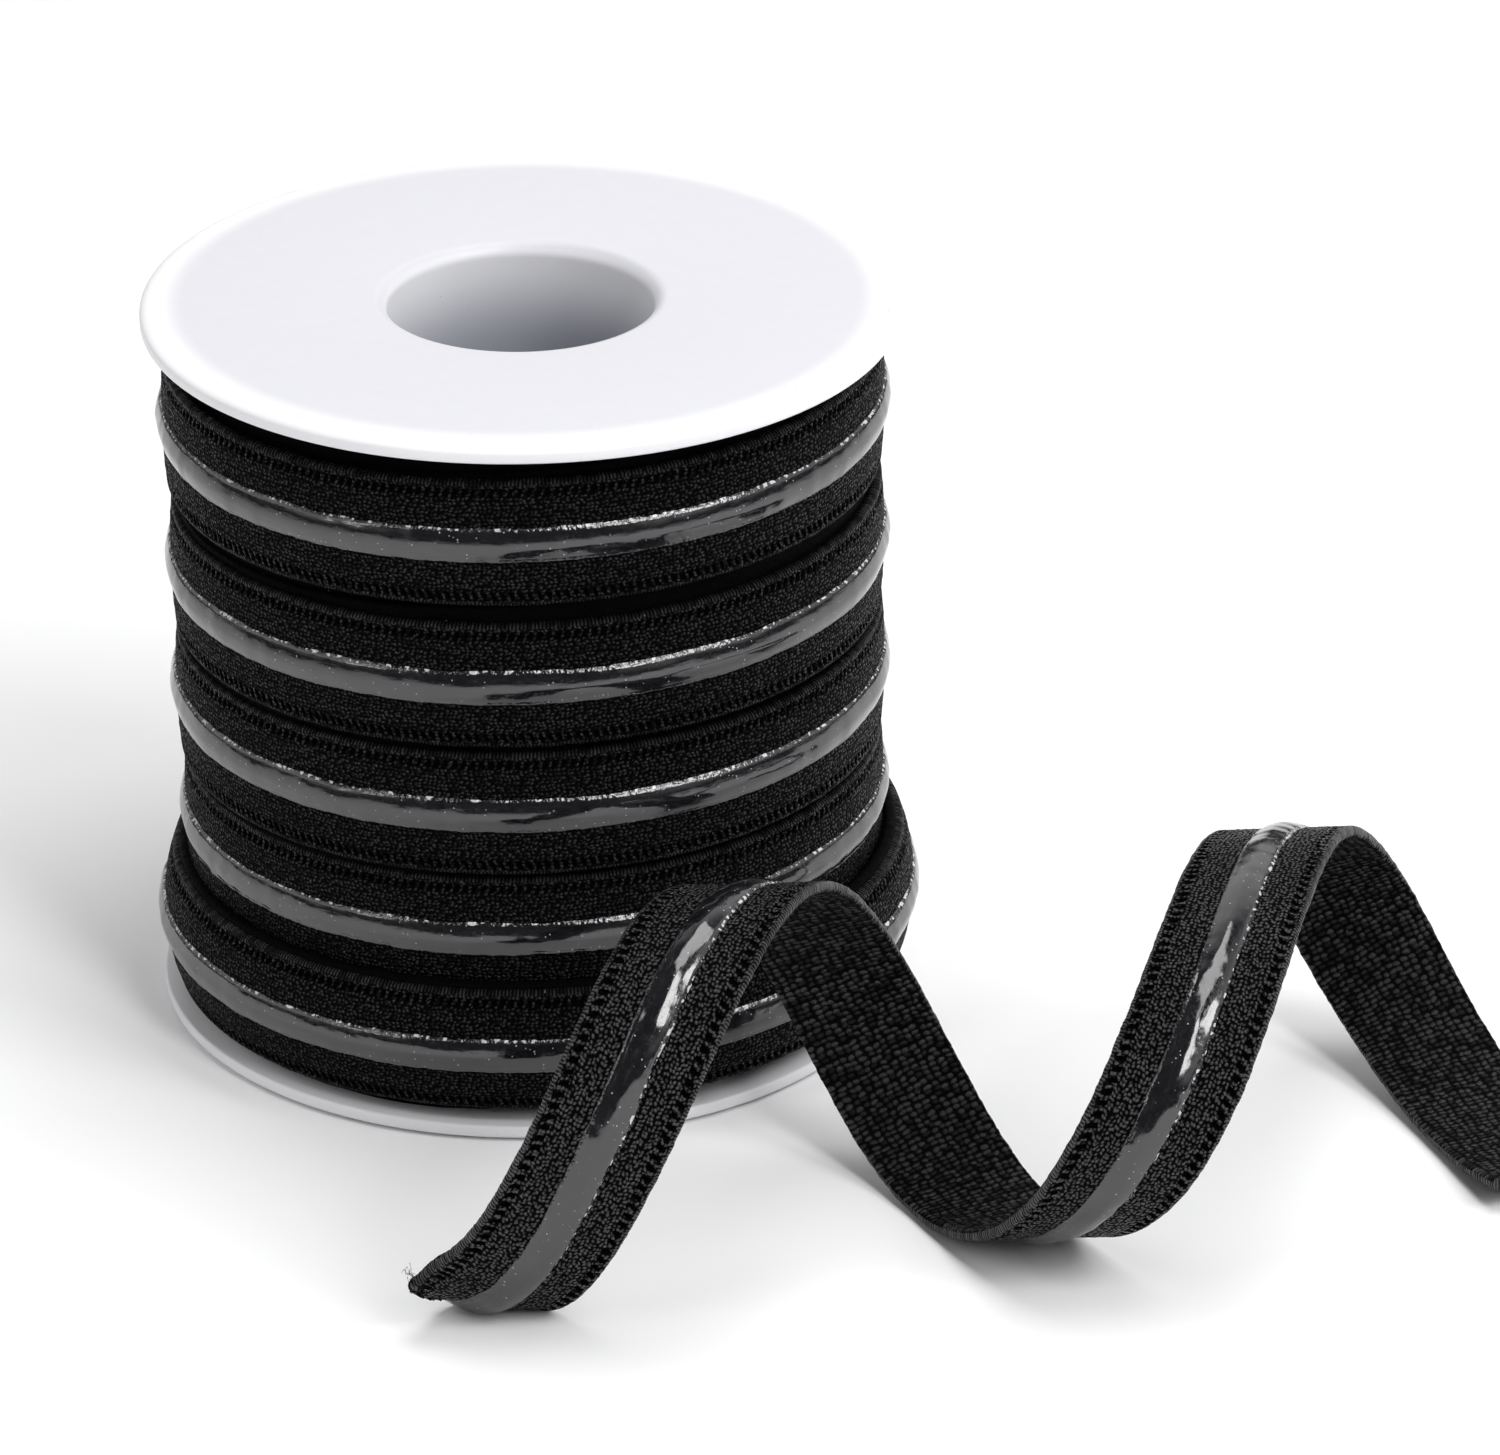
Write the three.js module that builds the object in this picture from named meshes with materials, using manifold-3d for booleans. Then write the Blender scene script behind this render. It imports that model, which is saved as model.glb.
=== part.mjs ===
// A white plastic spool wound with black gripper elastic, and a loose length of the same
// elastic that lies in front of it in an open spiral. Millimetres, +Z up.
import * as THREE from "three";
import { mergeVertices } from "three/addons/utils/BufferGeometryUtils.js";
import Module from "manifold-3d";

const wasm = await Module();
wasm.setup();

const { degToRad, lerp, smoothstep } = THREE.MathUtils;

// Driving dimensions
const SPOOL = {
  radius: 43, // of both flanges
  height: 85.4,
  flange: 2.0, // thickness of a flange
  bore: 15.15, // radius of the hole through the middle
  barrel: 17.5, // outer radius of the tube that the elastic is wound on
  rimWide: 2.4, // how far the rounded rim reaches in over the outer face
  rimDeep: 0.9,
  rimInner: 0.3, // small round on the side that faces the elastic
  lip: 1.6, // round where the hole meets the outer face
};
const TAPE = { width: 15, thick: 1.3, edge: 0.35 };
const BEAD = { width: 4.2, crown: 2.8, thick: 0.5 };
const CLEAR = 0.3; // between neighbouring pieces

// The outer layer, one row for each turn from the top down: the height of the tape's middle
// at the front, the radius of its outer face, and how far the turn sits off centre towards +X.
// The last three turns lie on top of each other.
const TURNS = [
  { middle: 72.9, radius: 41.0, aside: 0.1 },
  { middle: 55.6, radius: 40.8, aside: 0.3 },
  { middle: 39.9, radius: 40.8, aside: 0.4 },
  { middle: 24.4, radius: 40.5, aside: 0.6 },
  { middle: 11.0, radius: 41.1, aside: 0.8 },
  { middle: 11.9, radius: 42.4, aside: 0.9 },
  { middle: 11.3, radius: 43.7, aside: 1.0 },
];
const CROSSING = 1 / 3; // part of a turn, at the back, in which the tape moves to its next row
const WOUND_TILT = 0.9; // how much higher each turn lies at its right end than in front
const CLIMB = { turns: 0.2, rise: 1.3 }; // how the outer layer comes up from the one under it
const TURN_STEPS = 36; // facets in a turn
const CORE_RADIUS = 39.5; // the layers under the outer one
const BEAD_START = 0.12; // turns, so that the strips of silicone stop short of the tape's ends
const BEAD_DIVE = 3.86; // where the fourth turn goes under the last ones

// The loose length: an open spiral. Angles count from the front of the first ring, upwards.
const LOOSE = {
  from: degToRad(-95),
  to: degToRad(655),
  steps: 78,
  start: new THREE.Vector2(8.1, -72.9), // middle of the first ring, seen from above
  pull: new THREE.Vector2(57.9, 16.1), // from each ring to the next
  halfHeight: 22.0,
  halfHeightGain: -2.3, // for each turn
  halfDepth: 15.3,
  halfDepthGain: 9.9,
  turned: 0.046, // radians that a ring's axis is turned from +X
  turnedGain: 0.013,
  startLean: 0.39, // the cut end is raised at its left edge
  startFade: degToRad(50),
  width: 14.7,
};
const FLAT_SPOT = 0.2; // how much each bottom is pressed flat on the floor

const PLASTIC = { color: 0xf0f0f6, roughness: 0.35, metalness: 0 };
const FABRIC = { color: 0x0c0c0d, roughness: 0.9, metalness: 0 };
const SILICONE = { color: 0x3c3c40, roughness: 0.22, metalness: 0 };

// A closed body from rows of corners: every row holds the same corners in the same order.
function bodyFromRows(rows) {
  const corners = rows[0].length;
  const at = (row, corner) => row * corners + (corner % corners);
  const faces = [];
  for (let row = 0; row + 1 < rows.length; row++) {
    for (let corner = 0; corner < corners; corner++) {
      const [a, b] = [at(row, corner), at(row, corner + 1)];
      const [c, d] = [at(row + 1, corner + 1), at(row + 1, corner)];
      faces.push([a, b, c], [a, c, d]);
    }
  }
  for (let corner = 1; corner + 1 < corners; corner++) {
    faces.push([at(0, 0), at(0, corner + 1), at(0, corner)]);
    const end = rows.length - 1;
    faces.push([at(end, 0), at(end, corner), at(end, corner + 1)]);
  }
  const geometry = new THREE.BufferGeometry().setFromPoints(rows.flat());
  geometry.setIndex(faces.flat());
  return geometry;
}

// Corners of a tape's or bead's section: across its width, and out from the tape's face. Two of
// the tape's lie under the bead's sides, so that both bend alike.
function tapeSection(width) {
  const { thick, edge } = TAPE;
  const [half, under] = [width / 2, BEAD.width / 2];
  const left = [[-half, -thick], [-half, -edge], [edge - half, 0], [-under, 0]];
  return [...left, ...left.map(([side, rise]) => [-side, rise]).reverse()];
}

function beadSection() {
  const [half, crown] = [BEAD.width / 2, BEAD.crown / 2];
  return [[-half, CLEAR], [-crown, CLEAR + BEAD.thick], [crown, CLEAR + BEAD.thick], [half, CLEAR]];
}

// Places a section in each frame of a path. A frame has a point on the tape's outer face,
// the direction across the tape and the direction out of its face.
function sweep(section, frames) {
  return bodyFromRows(frames.map(({ point, across, out }) => section.map(([side, rise]) => (
    point.clone().addScaledVector(across, side).addScaledVector(out, rise)
  ))));
}

function toManifold(geometry) {
  geometry.deleteAttribute("normal");
  geometry.deleteAttribute("uv");
  const merged = mergeVertices(geometry, 1e-4);
  return new wasm.Manifold(new wasm.Mesh({
    numProp: 3,
    vertProperties: new Float32Array(merged.attributes.position.array),
    triVerts: new Uint32Array(merged.index.array),
  }));
}

function fromManifold(solid) {
  const mesh = solid.getMesh();
  const geometry = new THREE.BufferGeometry();
  geometry.setAttribute("position", new THREE.BufferAttribute(mesh.vertProperties, 3));
  geometry.setIndex(new THREE.BufferAttribute(mesh.triVerts, 1));
  return geometry;
}

// A lathe turns about Y; this one stands it up on Z.
function turnedBody(outline, segments) {
  const closed = [...outline, outline[0]];
  return new THREE.LatheGeometry(closed, segments).rotateX(Math.PI / 2);
}

// A quarter of an ellipse about a centre, from its side to its top.
function quarter(centre, wide, deep, steps) {
  const points = [];
  for (let i = 0; i <= steps; i++) {
    const angle = (i / steps) * (Math.PI / 2);
    points.push(new THREE.Vector2(centre.x + wide * Math.cos(angle), centre.y + deep * Math.sin(angle)));
  }
  return points;
}

// The spool's outline from the barrel, out and up over the top flange and down into the bore.
function upperOutline() {
  const { radius, height, flange, bore, barrel, rimWide, rimDeep, rimInner, lip } = SPOOL;
  const half = height / 2;
  const lipCentre = new THREE.Vector2(bore + lip, half - lip);
  const rimCentre = new THREE.Vector2(radius - rimWide, half - rimDeep);
  return [
    new THREE.Vector2(barrel, half - flange),
    new THREE.Vector2(radius - rimInner, half - flange),
    new THREE.Vector2(radius, half - flange + rimInner),
    ...quarter(rimCentre, rimWide, rimDeep, 4),
    ...quarter(lipCentre, -lip, lip, 4).reverse(),
  ];
}

function spoolBody() {
  const upper = upperOutline();
  const lower = upper.map((point) => new THREE.Vector2(point.x, -point.y)).reverse();
  return turnedBody([...upper, ...lower], 56).translate(0, 0, SPOOL.height / 2);
}

// A value of the outer layer's table at a place counted in turns from the back of the reel.
function alongTurns(turn, column) {
  const shifted = turn + CROSSING / 2;
  const row = Math.min(Math.floor(shifted), TURNS.length - 1);
  const share = smoothstep(shifted - row, 0, CROSSING);
  return lerp(TURNS[Math.max(row - 1, 0)][column], TURNS[row][column], share);
}

// The tape runs from the back by the right side to the front, and by the left side back.
function woundFrames(first, last) {
  const steps = Math.round((last - first) * TURN_STEPS);
  const pointAt = (turn) => {
    const angle = Math.PI - turn * 2 * Math.PI;
    const buried = CLIMB.rise * (1 - smoothstep(turn, 0, CLIMB.turns));
    const radius = alongTurns(turn, "radius") - buried;
    const height = alongTurns(turn, "middle") + WOUND_TILT * Math.sin(angle);
    return new THREE.Vector3(
      alongTurns(turn, "aside") + radius * Math.sin(angle),
      -radius * Math.cos(angle),
      height,
    );
  };
  const frames = [];
  for (let i = 0; i <= steps; i++) {
    const turn = lerp(first, last, i / steps);
    const angle = Math.PI - turn * 2 * Math.PI;
    const out = new THREE.Vector3(Math.sin(angle), -Math.cos(angle), 0);
    frames.push({ point: pointAt(turn), across: new THREE.Vector3(0, 0, 1), out });
  }
  return frames;
}

function coreBody() {
  const [low, high] = [SPOOL.flange + CLEAR, SPOOL.height - SPOOL.flange - CLEAR];
  const inner = SPOOL.barrel + CLEAR;
  const outline = [[CORE_RADIUS, low], [CORE_RADIUS, high], [inner, high], [inner, low]];
  return turnedBody(outline.map(([r, z]) => new THREE.Vector2(r, z)), TURN_STEPS);
}

function woundElastic() {
  const layer = toManifold(sweep(tapeSection(TAPE.width), woundFrames(0, TURNS.length)));
  return fromManifold(toManifold(coreBody()).add(layer));
}

// Middle line of the loose length's outer face.
function loosePoint(angle) {
  const turns = angle / (2 * Math.PI);
  const facing = LOOSE.turned + LOOSE.turnedGain * turns;
  const halfHeight = LOOSE.halfHeight + LOOSE.halfHeightGain * turns;
  const halfDepth = LOOSE.halfDepth + LOOSE.halfDepthGain * turns;
  const inward = -halfDepth * Math.cos(angle);
  return new THREE.Vector3(
    LOOSE.start.x + LOOSE.pull.x * turns - inward * Math.sin(facing),
    LOOSE.start.y + LOOSE.pull.y * turns + inward * Math.cos(facing),
    halfHeight * (1 + Math.sin(angle)) + CLEAR + BEAD.thick - FLAT_SPOT,
  );
}

function looseFrame(angle) {
  const small = 1e-3;
  const along = loosePoint(angle + small).sub(loosePoint(angle - small)).normalize();
  const facing = LOOSE.turned + (LOOSE.turnedGain * angle) / (2 * Math.PI);
  const axis = new THREE.Vector3(Math.cos(facing), Math.sin(facing), 0);
  const outward = new THREE.Vector3(
    Math.cos(angle) * Math.sin(facing),
    -Math.cos(angle) * Math.cos(facing),
    Math.sin(angle),
  );
  const past = Math.max(angle + Math.PI / 2, 0);
  const lean = LOOSE.startLean * Math.exp(-past / LOOSE.startFade);
  const across = axis.addScaledVector(outward, lean);
  across.addScaledVector(along, -across.dot(along)).normalize();
  const out = new THREE.Vector3().crossVectors(across, along);
  const point = loosePoint(angle);
  const lowEdge = point.z - (LOOSE.width / 2) * Math.abs(across.z);
  point.z += Math.max(-lowEdge, 0);
  return { point, across, out };
}

function looseFrames() {
  const frames = [];
  for (let i = 0; i <= LOOSE.steps; i++) {
    frames.push(looseFrame(lerp(LOOSE.from, LOOSE.to, i / LOOSE.steps)));
  }
  return frames;
}

// Nothing reaches below the floor: what would is pressed flat on it.
function pressedFlat(geometry) {
  const position = geometry.attributes.position;
  for (let i = 0; i < position.count; i++) position.setZ(i, Math.max(position.getZ(i), 0));
  return geometry;
}

function looseElastic() {
  return pressedFlat(sweep(tapeSection(LOOSE.width), looseFrames()));
}

function looseBead() {
  return pressedFlat(sweep(beadSection(), looseFrames().slice(1, -1)));
}

function piece(name, geometry, finish) {
  const solid = toManifold(geometry);
  const outside = solid.volume() > 0 ? fromManifold(solid) : null;
  if (!outside) throw new Error(`${name} is inside out`);
  const mesh = new THREE.Mesh(outside, new THREE.MeshStandardMaterial(finish));
  mesh.name = name;
  return mesh;
}

const reel = new THREE.Group();
reel.add(piece("spool", spoolBody(), PLASTIC));
reel.add(piece("wound_elastic", woundElastic(), FABRIC));
reel.add(piece("silicone_on_bands", sweep(beadSection(), woundFrames(BEAD_START, BEAD_DIVE)), SILICONE));
reel.add(piece(
  "silicone_on_last_turn",
  sweep(beadSection(), woundFrames(TURNS.length - 1 + BEAD_START, TURNS.length - BEAD_START / 4)),
  SILICONE,
));

const loose = new THREE.Group();
loose.add(piece("loose_length", looseElastic(), FABRIC));
loose.add(piece("silicone_on_loose_length", looseBead(), SILICONE));

const object = new THREE.Group();
object.add(reel, loose);

// The origin is under the middle of the whole, on the floor.
const box = new THREE.Box3().setFromObject(object);
const middle = box.getCenter(new THREE.Vector3());
object.position.set(-middle.x, -middle.y, -box.min.z);

export default object;
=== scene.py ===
import math

import bmesh
import bpy
import numpy as np
from mathutils import Matrix, Vector


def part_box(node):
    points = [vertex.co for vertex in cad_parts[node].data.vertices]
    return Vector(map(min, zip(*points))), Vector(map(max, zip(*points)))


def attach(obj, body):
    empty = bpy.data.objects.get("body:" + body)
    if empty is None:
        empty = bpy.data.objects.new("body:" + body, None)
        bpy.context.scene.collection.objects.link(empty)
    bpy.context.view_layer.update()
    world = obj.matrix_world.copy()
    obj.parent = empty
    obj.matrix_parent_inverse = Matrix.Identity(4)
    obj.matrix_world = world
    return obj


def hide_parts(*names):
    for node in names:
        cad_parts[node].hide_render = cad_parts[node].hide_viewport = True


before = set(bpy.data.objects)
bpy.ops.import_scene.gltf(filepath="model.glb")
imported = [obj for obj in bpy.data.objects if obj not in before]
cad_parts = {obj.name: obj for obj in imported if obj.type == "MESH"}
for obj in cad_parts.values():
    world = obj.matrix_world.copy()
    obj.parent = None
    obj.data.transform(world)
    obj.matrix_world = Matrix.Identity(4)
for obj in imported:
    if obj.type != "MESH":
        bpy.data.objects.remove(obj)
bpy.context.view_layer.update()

# A white plastic spool wound with black gripper elastic, with a loose length of the same
# elastic lying in front of it in an open spiral. Shapes are worked out in millimetres from
# the foot of the spool's axis, and placed in the frame's metres at the end.
MM = 0.001
spool_low, spool_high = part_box("spool")
AXIS_FOOT = np.array([(spool_low[0] + spool_high[0]) / 2, (spool_low[1] + spool_high[1]) / 2, 0])
INTO_FRAME = Matrix.Translation(AXIS_FOOT) @ Matrix.Scale(MM, 4)

# The spool
FLANGE_RADIUS = 43.0
SPOOL_HEIGHT = 85.4
FLANGE_THICK = 2.0
BORE_RADIUS = 15.15
BARREL_RADIUS = 17.5
RIM_WIDE, RIM_DEEP, RIM_INNER = 2.4, 0.9, 0.3
LIP_ROUND = 1.6
SPOOL_SEGMENTS, CORE_SEGMENTS = 192, 96

# The elastic
TAPE_WIDTH = 15.0
TAPE_THICK = 1.3
EDGE_WIDE = 0.45  # of the round cord along each edge
LADDER_MIDDLE = 6.15  # how far from the middle the row of holes beside each cord lies
LADDER_HALF = 0.55
LADDER_PITCH = 1.02  # on the reel
LOOSE_LADDER_PITCH = 1.32
LADDER_DEPTH = 0.42
STITCH_ACROSS, STITCH_ALONG, STITCH_RISE = 0.46, 0.52, 0.07  # of the outer face's lumps
BACK_ACROSS, BACK_ALONG, BACK_RISE = 0.95, 0.74, 0.12  # of the inner face's
RIB_PITCH = 0.42  # of the thread wrapped round the edge cord
WEAVE_DEPTH = 0.3  # of the finer lumps that the cloth's materials add

# The silicone line down the middle of the tape
BEAD_HALF = 2.1
BEAD_RISE = 0.62
BEAD_SHOULDER = 0.32  # of its rise, that its edges keep before they turn down
BEAD_SUNK = 0.12

# The outer layer, one row for each turn from the top down: the height of the tape's middle
# in front, the radius of its outer face, how far the turn sits off centre towards +X, and
# how much its edges are drawn in.
TURNS = np.array([
    (72.9, 41.0, 0.1, 0.3),
    (55.6, 40.8, 0.3, 0.3),
    (39.9, 40.8, 0.4, 0.3),
    (24.4, 40.5, 0.6, 0.3),
    (11.0, 41.1, 0.8, 0.3),
    (11.9, 42.4, 0.9, 0.8),
    (11.3, 43.7, 1.0, 1.4),
])
MIDDLE, RADIUS, ASIDE, DRAWN_IN = 0, 1, 2, 3
CROSSING = 1 / 3  # part of a turn, at the back, in which the tape moves to its next row
WOUND_TILT = 0.9  # how much higher than in front the rows lie at +X
CLIMB_TURNS, CLIMB_RISE = 0.2, 1.3  # the start comes out over this part of a turn, this far
UPPER_ROWS = 4
BEAD_START, BEAD_DIVE = 0.12, 3.86  # the turns between which the upper rows' silicone shows
LAST_BEAD_START, LAST_BEAD_END = 6.12, 6.97
BEAD_TAPER = 4.0  # length over which a line of silicone thins out where it ends
COVERED_TURNS = (4, 5)  # the last turn lies on these

# The layer under the outer one
UNDER_RADIUS = 39.65
UNDER_TOP, UNDER_STEP, UNDER_TILT = 73.6, 15.9, 2.5
UNDER_ROWS, UNDER_FROM, UNDER_TO = 5, 0.1, 4.9
CORE_RADIUS = 39.0
CORE_GAP = 0.3  # between the wound core and the spool

# The loose length, an open spiral. Angles count from the front of its first ring, upwards.
# What a GAIN belongs to changes by that much with each turn.
LOOSE_FROM, LOOSE_TO = math.radians(-95), math.radians(655)
LOOSE_START = (8.1, -72.9)
LOOSE_PULL = (57.9, 16.1)  # how far each turn moves on
LOOSE_HALF_HEIGHT, LOOSE_HALF_HEIGHT_GAIN = 22.0, -2.3
LOOSE_HALF_DEPTH, LOOSE_HALF_DEPTH_GAIN = 15.3, 9.9
LOOSE_TURNED, LOOSE_TURNED_GAIN = 0.046, 0.013  # of each ring's axis from +X, in radians
CURL_UP, CURL_FADE = 5.8, 15.0  # how far the cut end's left side curls up, and over what length
CORNER_UP, CORNER_FADE = 1.4, 4.0  # how far its corner curls on from there
CURL_SIDEWAYS = -1.0
CUT_SLANT, CUT_SLANT_FADE = 2.5, 10.0  # how much shorter the cut end's left side is
SAG_FORWARD, SAG_FADE = 3.5, 30.0  # of the cut end where it lies on the floor
LOOSE_WIDTH = 14.7
LOOSE_LIFT = 0.6  # of the outer face above the floor at a bottom, under the silicone
LEAST_TAPE, LEAST_BEAD, LEAST_YARN = 0.02, 0.01, 0.03  # least heights above the floor
SET_BACK, SET_BACK_LENGTH = 0.03, 0.8  # of its silicone from its ends: angle, and rough length

# The camera
CAMERA_PLACE = (25.67, -834.7, 433.3)  # from the foot of the spool's axis
CAMERA_DOWN, CAMERA_ROLL = math.radians(25.729), math.radians(-0.255)
CAMERA_LENS = 192


def add_object(name, data):
    made = bpy.data.objects.new(name, data)
    bpy.context.scene.collection.objects.link(made)
    return made


def add_camera():
    ahead = Vector((0, math.cos(CAMERA_DOWN), -math.sin(CAMERA_DOWN)))
    right = Vector((1, 0, 0))
    up = right.cross(ahead)
    side = right * math.cos(CAMERA_ROLL) + up * math.sin(CAMERA_ROLL)
    top = up * math.cos(CAMERA_ROLL) - right * math.sin(CAMERA_ROLL)
    data = bpy.data.cameras.new("camera")
    data.lens, data.sensor_width = CAMERA_LENS, 36
    data.clip_start, data.clip_end = 0.01, 50
    camera = add_object("camera", data)
    turn = Matrix((side, top, -ahead)).transposed().to_4x4()
    camera.matrix_world = Matrix.Translation(INTO_FRAME @ Vector(CAMERA_PLACE)) @ turn
    bpy.context.scene.camera = camera


add_camera()


class Tree:
    """Adds nodes to a tree. A value is a number, a colour or another node's output."""

    def __init__(self, tree):
        self.tree = tree

    def add(self, kind, values=None, **settings):
        made = self.tree.nodes.new(kind)
        for name, setting in settings.items():
            setattr(made, name, setting)
        for socket, value in (values or {}).items():
            if isinstance(value, bpy.types.NodeSocket):
                self.tree.links.new(value, made.inputs[socket])
            else:
                made.inputs[socket].default_value = value
        return made

    def maths(self, operation, *values, clamp=False):
        made = self.add(
            "ShaderNodeMath", dict(enumerate(values)), operation=operation, use_clamp=clamp
        )
        return made.outputs[0]

    def ramp(self, value, low, high, to_low=0.0, to_high=1.0):
        """Smoothly from to_low at low to to_high at high."""
        made = self.add(
            "ShaderNodeMapRange",
            {"Value": value, "From Min": low, "From Max": high, "To Min": to_low,
             "To Max": to_high},
            interpolation_type="SMOOTHSTEP",
        )
        return made.outputs["Result"]

    def noise(self, where, scale, detail=2.0, roughness=0.5):
        made = self.add(
            "ShaderNodeTexNoise",
            {"Vector": where, "Scale": scale, "Detail": detail, "Roughness": roughness},
        )
        return made.outputs["Fac"]

    def between(self, share, low, high):
        """A colour from low to high."""
        made = self.add("ShaderNodeMix", data_type="RGBA")
        self.tree.links.new(share, made.inputs["Factor"])
        for socket, value in ((made.inputs[6], low), (made.inputs[7], high)):
            if isinstance(value, bpy.types.NodeSocket):
                self.tree.links.new(value, socket)
            else:
                socket.default_value = value
        return made.outputs[2]


def grey(value, blue=0.0):
    return (value, value, value + blue, 1)


def new_group(name, inputs, outputs):
    """A node group, its inputs as {name: default}, its outputs as {name: socket kind}."""
    group = bpy.data.node_groups.new(name, "ShaderNodeTree")
    for label, default in inputs.items():
        kind = "NodeSocketVector" if default is None else "NodeSocketFloat"
        socket = group.interface.new_socket(label, in_out="INPUT", socket_type=kind)
        if default is not None:
            socket.default_value = default
    for label, kind in outputs.items():
        group.interface.new_socket(label, in_out="OUTPUT", socket_type=kind)
    tree = Tree(group)
    return tree, tree.add("NodeGroupInput").outputs, tree.add("NodeGroupOutput").inputs


def stitches_group():
    """Small uneven lumps in slanting rows, from flat millimetres: their height, and a tone
    that differs from one lump to the next.
    """
    tree, given, out = new_group(
        "stitches",
        {"Along": 0.0, "Across": 0.0, "Pitch Along": 0.76, "Pitch Across": 0.62, "Slant": 0.5,
         "Disorder": 0.6},
        {"Height": "NodeSocketFloat", "Tone": "NodeSocketFloat"},
    )
    flat = tree.add(
        "ShaderNodeCombineXYZ", {"X": given["Along"], "Y": given["Across"]}
    ).outputs[0]
    wobble = tree.add(
        "ShaderNodeTexNoise", {"Vector": flat, "Scale": 0.5, "Detail": 1.0}
    ).outputs["Color"]
    wobble = tree.add("ShaderNodeSeparateXYZ", {"Vector": wobble}).outputs
    row = tree.maths("DIVIDE", given["Across"], given["Pitch Across"])
    row = tree.maths("MULTIPLY_ADD", wobble["X"], 0.9, row)
    turn = tree.maths("DIVIDE", given["Along"], given["Pitch Along"])
    turn = tree.maths("MULTIPLY_ADD", wobble["Y"], 0.9, turn)
    zigzag = tree.maths("PINGPONG", row, 2.0)
    turn = tree.maths("MULTIPLY_ADD", zigzag, given["Slant"], turn)
    where = tree.add("ShaderNodeCombineXYZ", {"X": turn, "Y": row}).outputs[0]
    lumps = tree.add(
        "ShaderNodeTexVoronoi", {"Vector": where, "Scale": 1.0, "Randomness": given["Disorder"]},
        voronoi_dimensions="2D",
    ).outputs
    tone = tree.add("ShaderNodeSeparateXYZ", {"Vector": lumps["Color"]}).outputs["X"]
    height = tree.ramp(lumps["Distance"], 0.05, 0.62, 1.0, 0.0)
    tree.tree.links.new(height, out["Height"])
    tree.tree.links.new(tone, out["Tone"])
    return tree.tree


def fibres_group():
    """Fine hairy grain, and a few light specks that are partly fluff and partly painted glints,
    from flat millimetres.
    """
    tree, given, out = new_group(
        "fibres",
        {"Place": None, "Grain": 7.0},
        {"Grain": "NodeSocketFloat", "Lint And Glint": "NodeSocketFloat"},
    )
    stretched = tree.add(
        "ShaderNodeMapping", {"Vector": given["Place"], "Scale": (1.0, 1.8, 1.0)}
    ).outputs[0]
    grain = tree.noise(stretched, given["Grain"], 3.0, 0.65)
    speck = tree.add("ShaderNodeTexVoronoi", {"Vector": given["Place"], "Scale": 0.42}).outputs
    lint_and_glint = tree.ramp(speck["Distance"], 0.03, 0.05, 1.0, 0.0)
    tree.tree.links.new(grain, out["Grain"])
    tree.tree.links.new(lint_and_glint, out["Lint And Glint"])
    return tree.tree


STITCHES = stitches_group()
FIBRES = fibres_group()


def new_material(name):
    material = bpy.data.materials.new(name)
    material.use_nodes = True
    tree = Tree(material.node_tree)
    shader = material.node_tree.nodes["Principled BSDF"]
    return material, tree, shader


def flat_place(tree):
    """The piece's own flat millimetres: along its length, and across from its middle."""
    place = tree.add("ShaderNodeUVMap", uv_map="flat").outputs[0]
    parts = tree.add("ShaderNodeSeparateXYZ", {"Vector": place}).outputs
    return place, parts["X"], parts["Y"]


def finish_cloth(tree, shader, height, tone, place, painted_light_level):
    """Black yarn: matt, with painted shade that darkens its colour to nearly black in its
    hollows, and a gleam on top of each stitch.
    """
    fibres = tree.add("ShaderNodeGroup", {}, node_tree=FIBRES)
    tree.tree.links.new(place, fibres.inputs["Place"])
    height = tree.maths("MULTIPLY_ADD", fibres.outputs["Grain"], 0.5, height)
    own = tree.ramp(tone, 0.0, 1.0, 0.3, 1.5)
    own = tree.maths("MULTIPLY", own, tree.ramp(fibres.outputs["Grain"], 0.3, 0.7, 0.4, 1.5))
    # Painted shade: the colour darkens from the tops of the stitches down into their hollows and
    # the ladder's holes.
    shade = tree.maths("MULTIPLY", tree.ramp(height, 0.3, 1.3), own, clamp=True)
    colour = tree.between(shade, grey(0.0006), grey(0.012 * painted_light_level, 0.0006))
    # Painted glints: the light specks stand partly for fluff on the yarn and partly for glints of
    # light.
    colour = tree.between(fibres.outputs["Lint And Glint"], colour, grey(0.12, 0.001))
    tree.tree.links.new(colour, shader.inputs["Base Color"])
    gleam = tree.maths("MULTIPLY", tree.ramp(height, 0.5, 1.25), own)
    gleam = tree.maths("MULTIPLY", gleam, 0.62 * painted_light_level, clamp=True)
    tree.tree.links.new(gleam, shader.inputs["Coat Weight"])
    bump = tree.add(
        "ShaderNodeBump", {"Height": height, "Strength": 1.0, "Distance": WEAVE_DEPTH * MM}
    )
    tree.tree.links.new(bump.outputs[0], shader.inputs["Normal"])
    tree.tree.links.new(bump.outputs[0], shader.inputs["Coat Normal"])
    shader.inputs["Roughness"].default_value = 0.6
    shader.inputs["Coat Roughness"].default_value = 0.3
    shader.inputs["Specular IOR Level"].default_value = 0.03


def add_stitches(tree, along, across, pitch_along, pitch_across, slant, disorder):
    made = tree.add("ShaderNodeGroup", node_tree=STITCHES)
    for label, value in (
        ("Pitch Along", pitch_along), ("Pitch Across", pitch_across), ("Slant", slant),
        ("Disorder", disorder),
    ):
        made.inputs[label].default_value = value
    tree.tree.links.new(along, made.inputs["Along"])
    tree.tree.links.new(across, made.inputs["Across"])
    return made.outputs["Height"], made.outputs["Tone"]


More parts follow.
